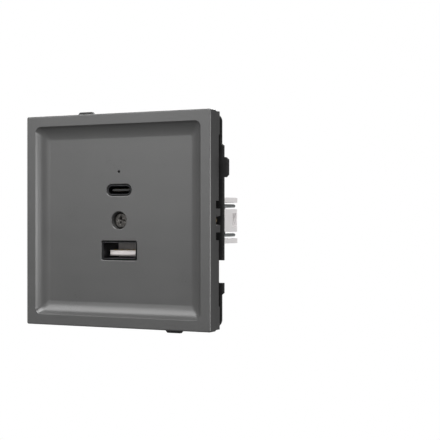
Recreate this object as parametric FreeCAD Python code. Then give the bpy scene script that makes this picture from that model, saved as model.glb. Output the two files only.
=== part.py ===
import FreeCAD, Part
import math
import os
from FreeCAD import Vector

# USB charging wall socket for a 60 mm flush box, 71 mm module, all sizes in mm.
# The frame: y = 0 is the wall face of the mounting plate, the front looks along -y, +z is up.
# The origin is the middle of the plate, which is also the middle of the 60 mm screw pitch.

# Fits and clearances
slide_gap = 0.3
fit_gap = 0.15
shaft_gap = 0.05
seat_gap = 0.1

# Cover with the dished front
cover_side = 71.0
cover_front = -10.1
cover_tier = -6.2
cover_back = -3.45
cover_foot = -2.75
finger_end = -2.35
tier_step = 0.4
cover_corner_r = 0.6
cover_edge = 0.3
rim_width = 3.5
slope_width = 4.8
dish_depth = 2.5
lip_width = 0.7
lip_depth = 1.1
foot_tilt = 8.0
mitre_r = 1.2
cover_floor = 1.8
cover_wall = 1.9
rim_groove_in = 4.3
rim_groove_depth = 2.2
foot_start = 27.5
foot_chamfer = 0.5
notch_front = -5.6
notch_mid_front = -6.1
notch_mid_half = 1.45
finger_out = 3.85
notch_out = 6.35
notch_neck = 0.15
notch_pocket = 1.2
notch_taper = 0.8

# Openings in the dish
usb_a_z = -10.0
usb_a_slot = (13.7, 6.4)
usb_a_slot_r = 0.6
usb_c_z = 10.1
usb_c_slot = (9.6, 3.8)
pinhole_z = 16.2
pinhole_r = 0.45
head_hole_r = 2.9
head_seat = -4.5

# Cover screw
head_r = 2.7
head_length = 1.6
head_bevel = 0.45
cover_screw_r = 1.45
cover_screw_end = 5.6
cross_width = 0.75
cross_reach = 1.5
cross_depth = 1.1
cover_boss_r = 4.4
boss_meet = -2.4

# Mounting plate, four-fold outline
plate_t = 1.1
plate_main = 35.5
plate_corner = 34.7
plate_tab = 37.2
plate_notch = 33.5
plate_corner_r = 2.6
step_chamfer = 0.6
main_top = 24.3
tab_top = 20.5
tab_bottom = 14.0
tab_corner = 0.8
notch_top = -12.9
notch_bottom = -20.2
block_bottom = -23.5
box_pitch = 60.0
slot_r = 1.8
slot_length = 6.4
corner_hole = 27.0
corner_hole_r = 2.1

# Inner bowl, from the ring in front of the plate to its floor
ring_r = 20.5
ring_front = -5.0
bowl_wall = 1.4
collar_r = 21.75
collar_depth = 2.2
bowl_neck = 20.4
bowl_knee_r = 19.0
bowl_knee = 6.6
bowl_floor_r = 14.7
bowl_floor_end = 9.4
bowl_floor_t = 1.5
bowl_boss_r = 3.2
ear_out = 25.2
ear_half = 9.4
ear_bevel = 2.0
board_post_x = (10.0, 12.0)
board_post_z = (9.0, 11.0)

# Housing shell and lid
case_half_x = 16.4
case_half_z = 25.4
case_draft = 0.25
case_wall = 1.6
case_seam = 31.8
case_corner_r = 1.0
lid_t = 1.7
lid_bevel = 0.5
side_cut_front = 18.0
side_cut_rear = 15.0
side_cut_end = 9.7
post_r = 1.05
post_x = 12.0
post_from_side = 2.3
post_head = 2.8
post_head_t = 0.5

# Claw bay on each side of the housing
bay_reach = 23.7
rail_in = 6.3
rail_out = 8.0
rail_start = 9.8
rail_end = 33.8
block_half = 4.0
block_start = 16.5
block_end = 33.5
block_pocket = (30.0, 32.8, -2.1, 2.5)
block_pocket_depth = 2.6
pocket_pin = 1.0
pocket_pin_drop = 1.2
pocket_pin_place = (1.0, 1.3)
gusset_far = 15.1
gusset_end = 20.0
gusset_tip = 16.2
gusset_rise = 2.3
gusset_edge = 0.7
gusset_bevel = (2.0, 1.9)
grille_out = 24.3
grille_wall = 1.0
grille_front = 2.2
grille_bend = 4.6
grille_rear = 9.5
grille_half_front = 9.4
grille_half_rear = 10.7
grille_tie = 1.0
grille_slot_end = 7.5
grille_slot_in = 1.95
grille_slot_out = 3.78
wedge_slot_in = 7.15
wedge_slot_out = 9.0
window_front = 25.8
window_rear = 28.0
window_in = 10.45
window_out = 16.8
hook_overlap = 1.25
hook_arm_t = 1.2
hook_side_gap = 0.35

# Spreading claws: screw, claw and return spring
claw_screw_x = 21.5
claw_screw_r = 1.5
claw_head_r = 2.9
claw_head_t = 2.1
claw_slot = (0.9, 1.1)
claw_stop_r = claw_head_r + 0.1
claw_stop_t = 1.7
claw_stop_shoulder = 0.6
claw_stop_bevel = 0.9
barrel_r = 2.9
barrel_wall = 0.65
barrel_front = 9.4
flange_front = 14.8
flange_t = 0.8
flange_half = 3.7
flange_out = 3.7
flange_in = 1.2
flange_neck = 2.9
flange_step = 0.5
tooth_front = 7.6
tooth_r = 3.6
tooth_half_angle = 55.0
tooth_notch_half = 0.35
claw_tilt = 45.0
wire_r = 0.6
wire_x = 23.0
wire_z = 5.1
wire_hook_z = 3.15
wire_hook_y = 14.1
wire_bar_x = 18.6
wire_bar_y = 33.0
bay_plate_t = 0.8
bay_plate_end = 18.0
bay_plate_corner = 1.8

# USB receptacles
shell_t = 0.3
shell_front = -7.3
port_board_front = 4.8
usb_a_shell_size = (13.1, 5.7)
usb_a_tongue_size = (11.1, 1.9)
usb_a_tongue_drop = 0.9
usb_a_tongue_front = -4.6
usb_a_pad = (1.0, 0.12, 4.8)
usb_a_pad_pitch = 2.4
usb_c_shell_size = (9.0, 3.26)
usb_c_tongue_size = (6.7, 0.7)
usb_c_tongue_front = -6.3
usb_c_pad = (0.25, 0.06, 3.6)
usb_c_pad_pitch = 0.5
socket_base = 2.2

# Boards and electronics
board_t = 1.6
port_board_gap = 0.35
port_board_reach = (0.72, 0.985)
power_board_front = 12.0
board_corner_cut = 0.8
ledge = 2.2
link_pin = 0.64
link_pitch = 2.54
link_pins = 4
link_x = 9.5
link_body = 2.5
pipe_r = 0.4
pipe_base = 1.8
pipe_base_l = 1.6
led_size = (1.6, 0.8, 0.8)
core_size = (17.0, 12.4, 13.5)
core_place = (-3.6, 8.6)
coil_size = (11.0, 11.2, 8.0)
coil_r = 1.5
coil_flange = (0.25, 0.9)
input_can = (4.0, 15.5)
input_can_x = 9.1
input_can_below_top = 6.6
output_can = (3.15, 11.5)
output_can_from_side = 4.2
output_can_above_base = 18.2
output_can_pitch = 7.0
rectifier_size = (6.4, 4.2, 2.4)
rectifier_bevel = 0.3
rectifier_x = -9.6
rectifier_below_top = 4.2
fuse_r = 2.5
fuse_length = 9.0
fuse_x = -7.0
fuse_above_base = 18.6

# Mains terminals with rising clamps
terminal_x = 5.5
terminal_y = 27.0
busbar_t = 0.8
busbar_bevel = 0.25
busbar_width = 4.4
busbar_end = 29.6
cage_half = 3.1
cage_wall = 0.8
cage_length = 5.6
cage_gap = 3.3
cage_base = 1.4
cage_cap = 1.0
cage_edge = 0.4
cage_travel = 3.0
cage_play = 0.2
terminal_screw_r = 1.5
terminal_head_r = 2.4
terminal_head_t = 1.5
terminal_slot = (0.8, 0.8)
screw_room = 1.6
rib_t = 0.9
rib_front = 22.5
rib_over_cage = 0.7
entry_r = 1.7
entry_flare = 0.6
access_r = 2.0

# Worked out from the driving sizes
half = cover_side / 2
dish_floor = cover_front + dish_depth
cover_floor_back = dish_floor + cover_floor
tier_half = half - tier_step
ring_inner_r = ring_r - bowl_wall
case_in_x = case_half_x - case_wall
case_in_z = case_half_z - case_wall
lid_rear = case_seam + lid_t
post_z = case_half_z - post_from_side
port_board_back = port_board_front + board_t
power_board_back = power_board_front + board_t
bowl_floor_front = bowl_floor_end - bowl_floor_t
flange_back = flange_front + flange_t
claw_head_back = -plate_t - seat_gap
shank_end = flange_back + slide_gap
screw_stack = seat_gap + terminal_head_t + cage_play + cage_travel + cage_base + screw_room
busbar_under = screw_stack - case_in_z
busbar_z = busbar_under + busbar_t
cage_top = busbar_z + cage_gap + cage_cap
rib_top = cage_top + rib_over_cage


def box(x0, x1, y0, y1, z0, z1):
    return Part.makeBox(x1 - x0, y1 - y0, z1 - z0, Vector(x0, y0, z0))


def rod_y(r, y0, y1, x=0.0, z=0.0):
    return Part.makeCylinder(r, y1 - y0, Vector(x, y0, z), Vector(0, 1, 0))


def rod_z(r, z0, z1, x=0.0, y=0.0):
    return Part.makeCylinder(r, z1 - z0, Vector(x, y, z0), Vector(0, 0, 1))


def rod_x(r, x0, x1, y=0.0, z=0.0):
    return Part.makeCylinder(r, x1 - x0, Vector(x0, y, z), Vector(1, 0, 0))


def block_y(width, height, y0, y1, x=0.0, z=0.0):
    """A bar of the given width (x) and height (z), centred on x and z."""
    return box(x - width / 2, x + width / 2, y0, y1, z - height / 2, z + height / 2)


def polygon(points):
    return Part.makePolygon([Vector(*p) for p in points] + [Vector(*points[0])])


def prism(points, travel):
    return Part.Face(polygon(points)).extrude(Vector(*travel))


def edges_along(shape, axis):
    """The straight edges of a shape that run along one axis, 0, 1 or 2."""
    found = []
    for edge in shape.Edges:
        if len(edge.Vertexes) != 2:
            continue
        step = edge.Vertexes[1].Point - edge.Vertexes[0].Point
        if step.Length > 0 and abs(abs(step[axis]) - edge.Length) < 1e-6:
            found.append(edge)
    return found


def edges_in_plane(shape, axis, value):
    """The edges that lie whole in one plane across an axis."""
    found = []
    for edge in shape.Edges:
        box_of = edge.BoundBox
        low = (box_of.XMin, box_of.YMin, box_of.ZMin)[axis]
        high = (box_of.XMax, box_of.YMax, box_of.ZMax)[axis]
        if abs(low - value) < 1e-4 and abs(high - value) < 1e-4:
            found.append(edge)
    return found


def rounded_bar(width, height, r, y0, y1, x=0.0, z=0.0):
    """A bar along y with round long edges. A radius of half the height gives a stadium."""
    if height - 2 * r < 1e-6:
        reach = width / 2 - r
        ends = [rod_y(r, y0, y1, x + side * reach, z) for side in (-1, 1)]
        return block_y(2 * reach, height, y0, y1, x, z).multiFuse(ends).removeSplitter()
    bar = block_y(width, height, y0, y1, x, z)
    return bar.makeFillet(r, edges_along(bar, 1))


def all_sides(shape):
    """The shape at each of the four sides, a quarter turn apart about y."""
    return [shape.rotated(Vector(0, 0, 0), Vector(0, 1, 0), 90 * turn) for turn in range(4)]


def both_sides(shape):
    return [shape, shape.mirror(Vector(0, 0, 0), Vector(1, 0, 0))]


def both_ends(shape):
    return [shape, shape.mirror(Vector(0, 0, 0), Vector(0, 0, 1))]


def turned(points):
    """A solid of revolution about y from (radius, y) points."""
    face = Part.Face(polygon([(r, y, 0) for r, y in points]))
    return face.revolve(Vector(0, 0, 0), Vector(0, 1, 0), 360)


def save(name, shape):
    """Write one node, after a check that each of its bodies is whole."""
    solids = shape.Solids
    whole = all(solid.isValid() and solid.Volume > 0 for solid in solids)
    print(f"{name}: {len(solids)} solid, {shape.Volume:.1f} mm3, {'good' if whole and solids else 'BAD'}")
    shape.exportStep(f"parts/{name}.step")


# Cover

def dish_void():
    """The hollow of the dish: one profile run both ways, so that its corners are mitred."""
    rim = half - rim_width
    lip = rim - lip_width
    foot = rim - slope_width
    run = lip - foot
    rise = dish_depth - lip_depth
    start = math.radians(foot_tilt)
    between = math.atan2(rise, run)
    radius = math.hypot(run, rise) / (2 * math.sin(between - start))
    middle = (foot + radius * (math.sin(between) - math.sin(start)),
              dish_floor - radius * (math.cos(start) - math.cos(between)))
    above = cover_front - 1.0
    grow = lip_width / lip_depth

    def profile(side):
        top = Vector(side * (rim + grow), above, 0)
        knee = Vector(side * lip, cover_front + lip_depth, 0)
        bend = Vector(side * middle[0], middle[1], 0)
        end = Vector(side * foot, dish_floor, 0)
        return [Part.LineSegment(top, knee).toShape(), Part.Arc(knee, bend, end).toShape()], top, end

    right, top_right, floor_right = profile(1)
    left, top_left, floor_left = profile(-1)
    loop = right + [Part.LineSegment(floor_right, floor_left).toShape()] + left
    loop.append(Part.LineSegment(top_left, top_right).toShape())
    face = Part.Face(Part.Wire(Part.__sortEdges__(loop)))
    face.translate(Vector(0, 0, -half))
    long_way = face.extrude(Vector(0, 0, cover_side))
    void = long_way.common(long_way.rotated(Vector(0, 0, 0), Vector(0, 1, 0), 90))
    mitres = [e for e in void.Edges
              if abs(abs(e.CenterOfMass.x) - abs(e.CenterOfMass.z)) < 1e-3 and e.BoundBox.YLength > 0.1]
    return void.makeFillet(mitre_r, mitres)


def cover_skirt():
    """The rear step of the cover, with its corner feet and the two fingers of each side."""
    skirt = block_y(2 * tier_half, 2 * tier_half, cover_tier, cover_back)
    step = cover_foot - cover_back
    foot = prism([(foot_start, cover_back, foot_start),
                  (tier_half, cover_back, foot_start),
                  (tier_half, cover_back, tier_half),
                  (foot_start, cover_back, tier_half)], (0, step, 0))
    inner_edges = [e for e in edges_in_plane(foot, 1, cover_foot)
                   if min(abs(e.CenterOfMass.x - foot_start), abs(e.CenterOfMass.z - foot_start)) < 1e-3]
    bevel = foot.makeChamfer(foot_chamfer, inner_edges)
    finger = box(tier_half - cover_wall, tier_half, cover_back, finger_end, notch_mid_half, finger_out)
    skirt = skirt.multiFuse(all_sides(bevel))
    return skirt.multiFuse([f for pair in both_ends(finger) for f in all_sides(pair)])


def skirt_notches():
    """Three notches in the middle of each side, the middle one with a wider inner end."""
    outer = box(tier_half - cover_wall - 1, half + 1, notch_front, finger_end + 1, finger_out, notch_out)
    pocket_back = notch_mid_front + notch_pocket
    taper_back = pocket_back + notch_taper
    wide = notch_mid_half + notch_neck
    slim = notch_mid_half - notch_neck
    low = finger_end + 1
    x0 = tier_half - cover_wall - 1
    middle = prism([(x0, notch_mid_front, -wide), (x0, pocket_back, -wide), (x0, taper_back, -slim),
                    (x0, low, -slim), (x0, low, slim), (x0, taper_back, slim),
                    (x0, pocket_back, wide), (x0, notch_mid_front, wide)], (half + 1 - x0, 0, 0))
    return [cut for piece in both_ends(outer) + [middle] for cut in all_sides(piece)]


def cover_plate():
    front = block_y(cover_side, cover_side, cover_front, cover_tier)
    front = front.makeFillet(cover_corner_r, edges_along(front, 1))
    front = front.makeChamfer(cover_edge, edges_in_plane(front, 1, cover_front))
    skirt = cover_skirt()
    body = front.fuse(skirt)
    inner = tier_half - cover_wall
    hollow = block_y(2 * inner, 2 * inner, cover_floor_back, 0)
    groove_in = half - rim_groove_in
    groove = block_y(2 * inner, 2 * inner, cover_floor_back - rim_groove_depth, cover_floor_back)
    groove = groove.cut(block_y(2 * groove_in, 2 * groove_in, cover_floor_back - rim_groove_depth - 1, 0))
    body = body.cut(hollow.fuse(groove))
    boss = rod_y(cover_boss_r, cover_floor_back - 0.5, boss_meet)
    body = body.fuse(boss)
    cuts = [dish_void()] + skirt_notches()
    cuts.append(rounded_bar(*usb_a_slot, usb_a_slot_r, dish_floor - 1, cover_floor_back + 1, z=usb_a_z))
    cuts.append(rounded_bar(*usb_c_slot, usb_c_slot[1] / 2, dish_floor - 1, cover_floor_back + 1, z=usb_c_z))
    cuts.append(rod_y(pinhole_r, dish_floor - 1, cover_floor_back + 1, z=pinhole_z))
    cuts.append(rod_y(head_hole_r, dish_floor - 1, head_seat))
    cuts.append(rod_y(cover_screw_r + fit_gap, head_seat - 1, boss_meet + 1))
    return body.cut(cuts[0]).cut(Part.makeCompound(cuts[1:])).removeSplitter()


def cover_screw():
    """Raised-head screw with a cross recess."""
    head_top = head_seat - head_length
    head = rod_y(head_r, head_top, head_seat)
    head = head.makeChamfer(head_bevel, edges_in_plane(head, 1, head_top))
    screw = head.fuse(rod_y(cover_screw_r, head_seat, cover_screw_end))
    wing = prism([(-cross_reach, head_top - 0.1, -cross_width / 2), (cross_reach, head_top - 0.1, -cross_width / 2),
                  (cross_width / 2, head_top + cross_depth, -cross_width / 2),
                  (-cross_width / 2, head_top + cross_depth, -cross_width / 2)], (0, 0, cross_width))
    cross = wing.fuse(wing.rotated(Vector(0, 0, 0), Vector(0, 1, 0), 90))
    return screw.cut(cross).removeSplitter()


# Mounting plate

def plate_outline():
    """One side of the outline, top to bottom, then turned to the other three sides."""
    end = plate_corner - plate_corner_r
    side = [(plate_corner, end),
            (plate_corner, main_top + step_chamfer),
            (plate_main, main_top),
            (plate_main, tab_top),
            (plate_tab - tab_corner, tab_top),
            (plate_tab, tab_top - tab_corner),
            (plate_tab, tab_bottom + tab_corner),
            (plate_tab - tab_corner, tab_bottom),
            (plate_main, tab_bottom),
            (plate_main, notch_top),
            (plate_notch, notch_top),
            (plate_notch, notch_bottom),
            (plate_main, notch_bottom),
            (plate_main, block_bottom),
            (plate_corner, block_bottom - step_chamfer),
            (plate_corner, -end)]
    edges = []
    for turn in range(4):
        ring = [Vector(x, -plate_t, z) for x, z in side]
        swing = FreeCAD.Rotation(Vector(0, 1, 0), 90 * turn)
        ring = [swing.multVec(point) for point in ring]
        edges += [Part.LineSegment(a, b).toShape() for a, b in zip(ring, ring[1:])]
        bulge = end + plate_corner_r * math.sqrt(0.5)
        middle = swing.multVec(Vector(bulge, -plate_t, -bulge))
        after = swing.multVec(Vector(end, -plate_t, -plate_corner))
        edges.append(Part.Arc(ring[-1], middle, after).toShape())
    return Part.Wire(Part.__sortEdges__(edges))


def mounting_plate():
    plate = Part.Face(plate_outline()).extrude(Vector(0, plate_t, 0))
    y0 = -plate_t - 1
    cuts = [rod_y(ring_r + fit_gap, y0, 1)]
    slot = rounded_bar(slot_length, 2 * slot_r, slot_r, y0, 1, x=box_pitch / 2)
    cuts += all_sides(slot)
    cuts += all_sides(rod_y(corner_hole_r, y0, 1, corner_hole, corner_hole))
    cuts += both_sides(rod_y(claw_screw_r + slide_gap, y0, 1, claw_screw_x))
    post = rod_y(post_r + seat_gap, y0, 1, post_x, post_z)
    cuts += [hole for side in both_sides(post) for hole in both_ends(side)]
    return plate.cut(Part.makeCompound(cuts)).removeSplitter()


# Inner bowl, the dark cup that holds the ports

def bowl_profile():
    return [(bowl_neck, collar_depth), (bowl_knee_r, bowl_knee), (bowl_floor_r, bowl_floor_end)]


def inner_bowl():
    outside = [(0, ring_front), (ring_r, ring_front), (ring_r, 0), (collar_r, 0), (collar_r, collar_depth)]
    outside += bowl_profile() + [(0, bowl_floor_end)]
    knee_in = bowl_knee_r - bowl_wall
    inside = [(0, ring_front - 1), (ring_inner_r, ring_front - 1), (ring_inner_r, collar_depth),
              (knee_in, bowl_knee), (bowl_floor_r - bowl_wall, bowl_floor_front), (0, bowl_floor_front)]
    bowl = turned(outside)
    ear_flat = ear_half - ear_bevel
    ear = prism([(0, 0, -ear_half), (ear_out - ear_bevel, 0, -ear_half), (ear_out, 0, -ear_flat),
                 (ear_out, 0, ear_flat), (ear_out - ear_bevel, 0, ear_half), (0, 0, ear_half)],
                (0, collar_depth, 0))
    tie_room = box(grille_out - grille_wall - fit_gap, grille_out + fit_gap, grille_front - grille_tie - fit_gap,
                   collar_depth + 1, -grille_half_front, grille_half_front)
    bowl = bowl.multiFuse(both_sides(ear.cut(tie_room))).cut(turned(inside))
    bowl = bowl.multiFuse([rod_y(bowl_boss_r, boss_meet, bowl_floor_front + 0.5)] + board_posts())
    cuts = [rod_y(cover_screw_r + shaft_gap, boss_meet - 1, cover_screw_end + 1)]
    cuts += both_sides(rod_y(claw_screw_r + slide_gap, ring_front - 1, bowl_floor_end + 1, claw_screw_x))
    cuts += both_sides(rod_y(claw_head_r + slide_gap, ring_front - 1, -plate_t, claw_screw_x))
    cuts.append(link_block(slide_gap, port_board_back + 0.2, power_board_front))
    return bowl.cut(Part.makeCompound(cuts)).removeSplitter()


def board_posts():
    """Four short posts on the bowl's floor that carry the port board."""
    post = box(*board_post_x, port_board_back, bowl_floor_front + 0.5, *board_post_z)
    return [p for side in both_sides(post) for p in both_ends(side)]


# Housing

def case_outline(y, half_x, half_z, r):
    """A rectangle with round corners in the plane across y."""
    edges = []
    for turn in range(4):
        a, b = (half_x, half_z) if turn % 2 == 0 else (half_z, half_x)
        swing = FreeCAD.Rotation(Vector(0, 1, 0), 90 * turn)
        low = swing.multVec(Vector(a, y, -(b - r)))
        high = swing.multVec(Vector(a, y, b - r))
        edges.append(Part.LineSegment(high, low).toShape())
        bulge = Vector(a - r + r * math.sqrt(0.5), y, -(b - r + r * math.sqrt(0.5)))
        after = swing.multVec(Vector(a - r, y, -b))
        edges.append(Part.Arc(low, swing.multVec(bulge), after).toShape())
    return Part.Wire(Part.__sortEdges__(edges))


def case_body():
    """The drafted outside of the housing."""
    front = case_outline(collar_depth, case_half_x + case_draft, case_half_z + case_draft, case_corner_r)
    rear = case_outline(case_seam, case_half_x, case_half_z, case_corner_r)
    return Part.makeLoft([front, rear], True)


def side_cut():
    """The opening in each side wall that the bowl shows through."""
    x0 = case_in_x - 1
    cut = prism([(x0, collar_depth - 1, -side_cut_front), (x0, collar_depth + 0.2, -side_cut_front),
                 (x0, side_cut_end, -side_cut_rear), (x0, side_cut_end, side_cut_rear),
                 (x0, collar_depth + 0.2, side_cut_front), (x0, collar_depth - 1, side_cut_front)],
                (case_wall + case_draft + 2, 0, 0))
    return both_sides(cut)


def claw_bay():
    """Rails, middle block and gussets on the right side of the housing."""
    root = case_in_x + 0.4
    rail = box(root, bay_reach, rail_start, rail_end, rail_in, rail_out)
    pieces = both_ends(rail)
    middle = box(root, bay_reach, block_start, block_end, -block_half, block_half)
    nut_room = rod_y(claw_stop_r + slide_gap, block_start - 1, shank_end + claw_stop_t + slide_gap, claw_screw_x)
    y0, y1, z0, z1 = block_pocket
    pocket = box(bay_reach - block_pocket_depth, bay_reach + 1, y0, y1, z0, z1)
    pin_y, pin_z = pocket_pin_place
    pins = [box(bay_reach - block_pocket_depth, bay_reach - pocket_pin_drop, y0 + pin_y - pocket_pin / 2,
                y0 + pin_y + pocket_pin / 2, z - pocket_pin / 2, z + pocket_pin / 2)
            for z in (z0 + pin_z, z1 - pin_z)]
    bar_room = box(root, wire_bar_x + wire_r + slide_gap, wire_bar_y - wire_r - slide_gap, rail_end + 1,
                   -block_half - 1, block_half + 1)
    middle = middle.cut(nut_room).cut(pocket).multiFuse(pins).cut(bar_room)
    drop, run = gusset_bevel
    gusset = prism([(root, rail_start, rail_out - 0.2), (root, gusset_end, rail_out - 0.2),
                    (root, gusset_tip + run, gusset_far - drop), (root, gusset_tip, gusset_far),
                    (root, rail_start, gusset_far)], (case_half_x + gusset_rise - root, 0, 0))
    top = edges_in_plane(gusset, 0, case_half_x + gusset_rise)
    bevelled = gusset.makeChamfer(gusset_edge, [e for e in top if e.CenterOfMass.z > rail_out + 0.5])
    lid_room = box(0, case_half_x + fit_gap, case_seam, rail_end + 1, -rail_out - 1, rail_out + 1)
    return [piece.cut(lid_room) for piece in pieces + [middle]] + both_ends(bevelled)


def grille_wall_solid():
    """The slotted guard in front of the claw: a sheet that turns inwards at its rear."""
    r_out = grille_rear - grille_bend
    r_in = r_out - grille_wall
    cx = grille_out - r_out
    root = case_half_x - fit_gap
    turn = math.sqrt(0.5)

    def at(x, y):
        return Vector(x, y, 0)

    outer = Part.Arc(at(grille_out, grille_bend), at(cx + r_out * turn, grille_bend + r_out * turn),
                     at(cx, grille_rear)).toShape()
    inner = Part.Arc(at(grille_out - grille_wall, grille_bend),
                     at(cx + r_in * turn, grille_bend + r_in * turn),
                     at(cx, grille_rear - grille_wall)).toShape()
    corners = [at(cx, grille_rear), at(root, grille_rear), at(root, grille_rear - grille_wall),
               at(cx, grille_rear - grille_wall)]
    edges = [Part.LineSegment(at(grille_out, grille_front), at(grille_out, grille_bend)).toShape(), outer]
    edges += [Part.LineSegment(a, b).toShape() for a, b in zip(corners, corners[1:])]
    edges.append(inner)
    edges.append(Part.LineSegment(at(grille_out - grille_wall, grille_bend),
                                  at(grille_out - grille_wall, grille_front)).toShape())
    edges.append(Part.LineSegment(at(grille_out - grille_wall, grille_front),
                                  at(grille_out, grille_front)).toShape())
    face = Part.Face(Part.Wire(Part.__sortEdges__(edges)))
    face.translate(Vector(0, 0, -grille_half_rear))
    sheet = face.extrude(Vector(0, 0, 2 * grille_half_rear))
    flare = prism([(0, grille_front, grille_half_front), (0, grille_rear, grille_half_rear),
                   (0, grille_rear, grille_half_rear + 5), (0, grille_front, grille_half_rear + 5)],
                  (grille_out + 1, 0, 0))
    sheet = sheet.cut(Part.makeCompound(both_ends(flare)))
    link = box(root, case_half_x + case_draft, grille_rear - grille_wall, rail_start + 0.4,
               -grille_half_rear, grille_half_rear)
    tie = box(grille_out - grille_wall, grille_out, grille_front - grille_tie, grille_front + 0.01,
              -grille_half_front + slide_gap, grille_half_front - slide_gap)
    return sheet.multiFuse([link, tie])


def grille_slots():
    """Two straight slots, two wedge slots, and room for the claw's screw and side walls."""
    x0 = case_half_x + 1.5
    x1 = grille_out + 1
    front = grille_front
    slot_r_end = (grille_slot_out - grille_slot_in) / 2
    slot_mid = (grille_slot_out + grille_slot_in) / 2
    straight = box(x0, x1, front, grille_slot_end - slot_r_end, grille_slot_in, grille_slot_out)
    straight = straight.fuse(rod_x(slot_r_end, x0, x1, grille_slot_end - slot_r_end, slot_mid))
    wedge_r = (wedge_slot_out - wedge_slot_in) / 2
    wedge_mid = (wedge_slot_out + wedge_slot_in) / 2
    wedge = prism([(x0, front, wedge_slot_in), (x0, grille_slot_end - wedge_r, wedge_slot_in),
                   (x0, grille_slot_end - wedge_r, wedge_slot_out), (x0, grille_slot_end - 2.2 * wedge_r, wedge_slot_out),
                   (x0, front, wedge_slot_in + 0.4)], (x1 - x0, 0, 0))
    wedge = wedge.fuse(rod_x(wedge_r, x0, x1, grille_slot_end - wedge_r, wedge_mid))
    room = barrel_r + slide_gap + 0.05
    claw_room = box(claw_screw_x - claw_screw_r - slide_gap, x1, grille_slot_end - 0.1, grille_rear + 1, -room, room)
    barrel_room = box(x0, x1, grille_slot_end - 1.2, grille_slot_end, grille_slot_in, room)
    shank_room = rod_y(claw_screw_r + slide_gap, front, grille_rear + 1, claw_screw_x)
    return both_ends(straight) + both_ends(wedge) + both_ends(barrel_room) + [claw_room, shank_room]


def housing():
    shell = case_body()
    inside = block_y(2 * case_in_x, 2 * case_in_z, collar_depth + case_wall, case_seam + 1)
    mouth = rod_y(bowl_neck + slide_gap, collar_depth - 1, collar_depth + case_wall + 1)
    shell = shell.cut(inside).cut(mouth)
    for cut in side_cut():
        shell = shell.cut(cut)
    window = box(case_in_x - 1, case_half_x + 1, window_front, window_rear, window_in, window_out)
    windows = [w for side in both_sides(window) for w in both_ends(side)]
    shell = shell.cut(Part.makeCompound(windows))
    guard = grille_wall_solid()
    for cut in grille_slots():
        guard = guard.cut(cut)
    bay = claw_bay() + [guard]
    post = rod_y(post_r, -plate_t - 0.01, collar_depth + 0.5, post_x, post_z)
    stake = block_y(post_head, post_head, -plate_t - post_head_t, -plate_t, post_x, post_z)
    post = post.fuse(stake)
    posts = [p for side in both_sides(post) for p in both_ends(side)]
    corner = box(case_in_x - ledge, case_in_x + 0.4, side_cut_end + 0.4, power_board_front,
                 case_in_z - ledge, case_in_z + 0.4)
    ledges = [c for side in both_sides(corner) for c in both_ends(side)]
    wall_x = terminal_x + cage_half + slide_gap
    ribs = [box(-(terminal_x - cage_half - slide_gap), terminal_x - cage_half - slide_gap, rib_front,
                case_seam - fit_gap, -case_in_z - 0.3, rib_top)]
    ribs += both_sides(box(wall_x, wall_x + rib_t, rib_front, case_seam - fit_gap, -case_in_z - 0.3, rib_top))
    solid = shell.multiFuse([p for piece in bay for p in both_sides(piece)] + posts + ledges + ribs)
    access = both_sides(rod_z(access_r, -case_half_z - 1, -case_in_z + 0.5, terminal_x, terminal_y))
    return solid.cut(Part.makeCompound(access)).removeSplitter()


def rear_lid():
    """Rear cover with a lip, four snap hooks and two flared wire entries."""
    plate = Part.Face(case_outline(case_seam, case_half_x, case_half_z, case_corner_r)).extrude(Vector(0, lid_t, 0))
    plate = plate.makeChamfer(lid_bevel, edges_in_plane(plate, 1, lid_rear))
    arm_x = case_in_x - fit_gap
    z0 = window_in + hook_side_gap
    z1 = window_out - hook_side_gap
    arm = box(arm_x - hook_arm_t, arm_x, window_front - 0.6, case_seam + 0.3, z0, z1)
    reach = arm_x + hook_overlap
    hook = prism([(arm_x - 0.2, window_front + fit_gap, z0), (reach, window_rear - fit_gap - 0.6, z0),
                  (reach, window_rear - fit_gap, z0), (arm_x - 0.2, window_rear - fit_gap, z0)],
                 (0, 0, z1 - z0))
    snap = arm.fuse(hook)
    snaps = [s for side in both_sides(snap) for s in both_ends(side)]
    step = box(case_half_x - tier_step, case_half_x + 1, case_seam - 0.01, lid_rear + 1, -window_in, window_out)
    lid = plate.multiFuse(snaps)
    entries = both_sides(rod_y(entry_r, case_seam - 1, lid_rear + 1, terminal_x, busbar_z + cage_gap / 2))
    flare = Part.makeCone(entry_r, entry_r + entry_flare, entry_flare + 0.05,
                          Vector(terminal_x, lid_rear - entry_flare, busbar_z + cage_gap / 2), Vector(0, 1, 0))
    cuts = entries + both_sides(flare) + both_sides(step)
    return lid.cut(Part.makeCompound(cuts)).removeSplitter()


# Claws

def claw_screw():
    """Slotted cheese-head screw with a bevelled stop at its end."""
    head_front = claw_head_back - claw_head_t
    head = rod_y(claw_head_r, head_front, claw_head_back, claw_screw_x)
    shank = rod_y(claw_screw_r, claw_head_back, shank_end + 0.2, claw_screw_x)
    stop_end = shank_end + claw_stop_t
    dome = turned([(0, shank_end), (claw_stop_r, shank_end), (claw_stop_r, shank_end + claw_stop_shoulder),
                   (claw_stop_r - claw_stop_bevel, stop_end), (0, stop_end)])
    dome.translate(Vector(claw_screw_x, 0, 0))
    slot_width, slot_depth = claw_slot
    slot = box(claw_screw_x - slot_width / 2, claw_screw_x + slot_width / 2, head_front - 1,
               head_front + slot_depth, -claw_head_r - 1, claw_head_r + 1)
    return head.multiFuse([shank, dome]).cut(slot).removeSplitter()


def arc_shell(r, wall, y0, y1, half_angle):
    """Part of a tube round the claw screw's axis, on its outer side."""
    face = Part.Face(polygon([(r - wall, y0, 0), (r, y0, 0), (r, y1, 0), (r - wall, y1, 0)]))
    face.rotate(Vector(0, 0, 0), Vector(0, 1, 0), -half_angle)
    return face.revolve(Vector(0, 0, 0), Vector(0, 1, 0), 2 * half_angle)


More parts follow.
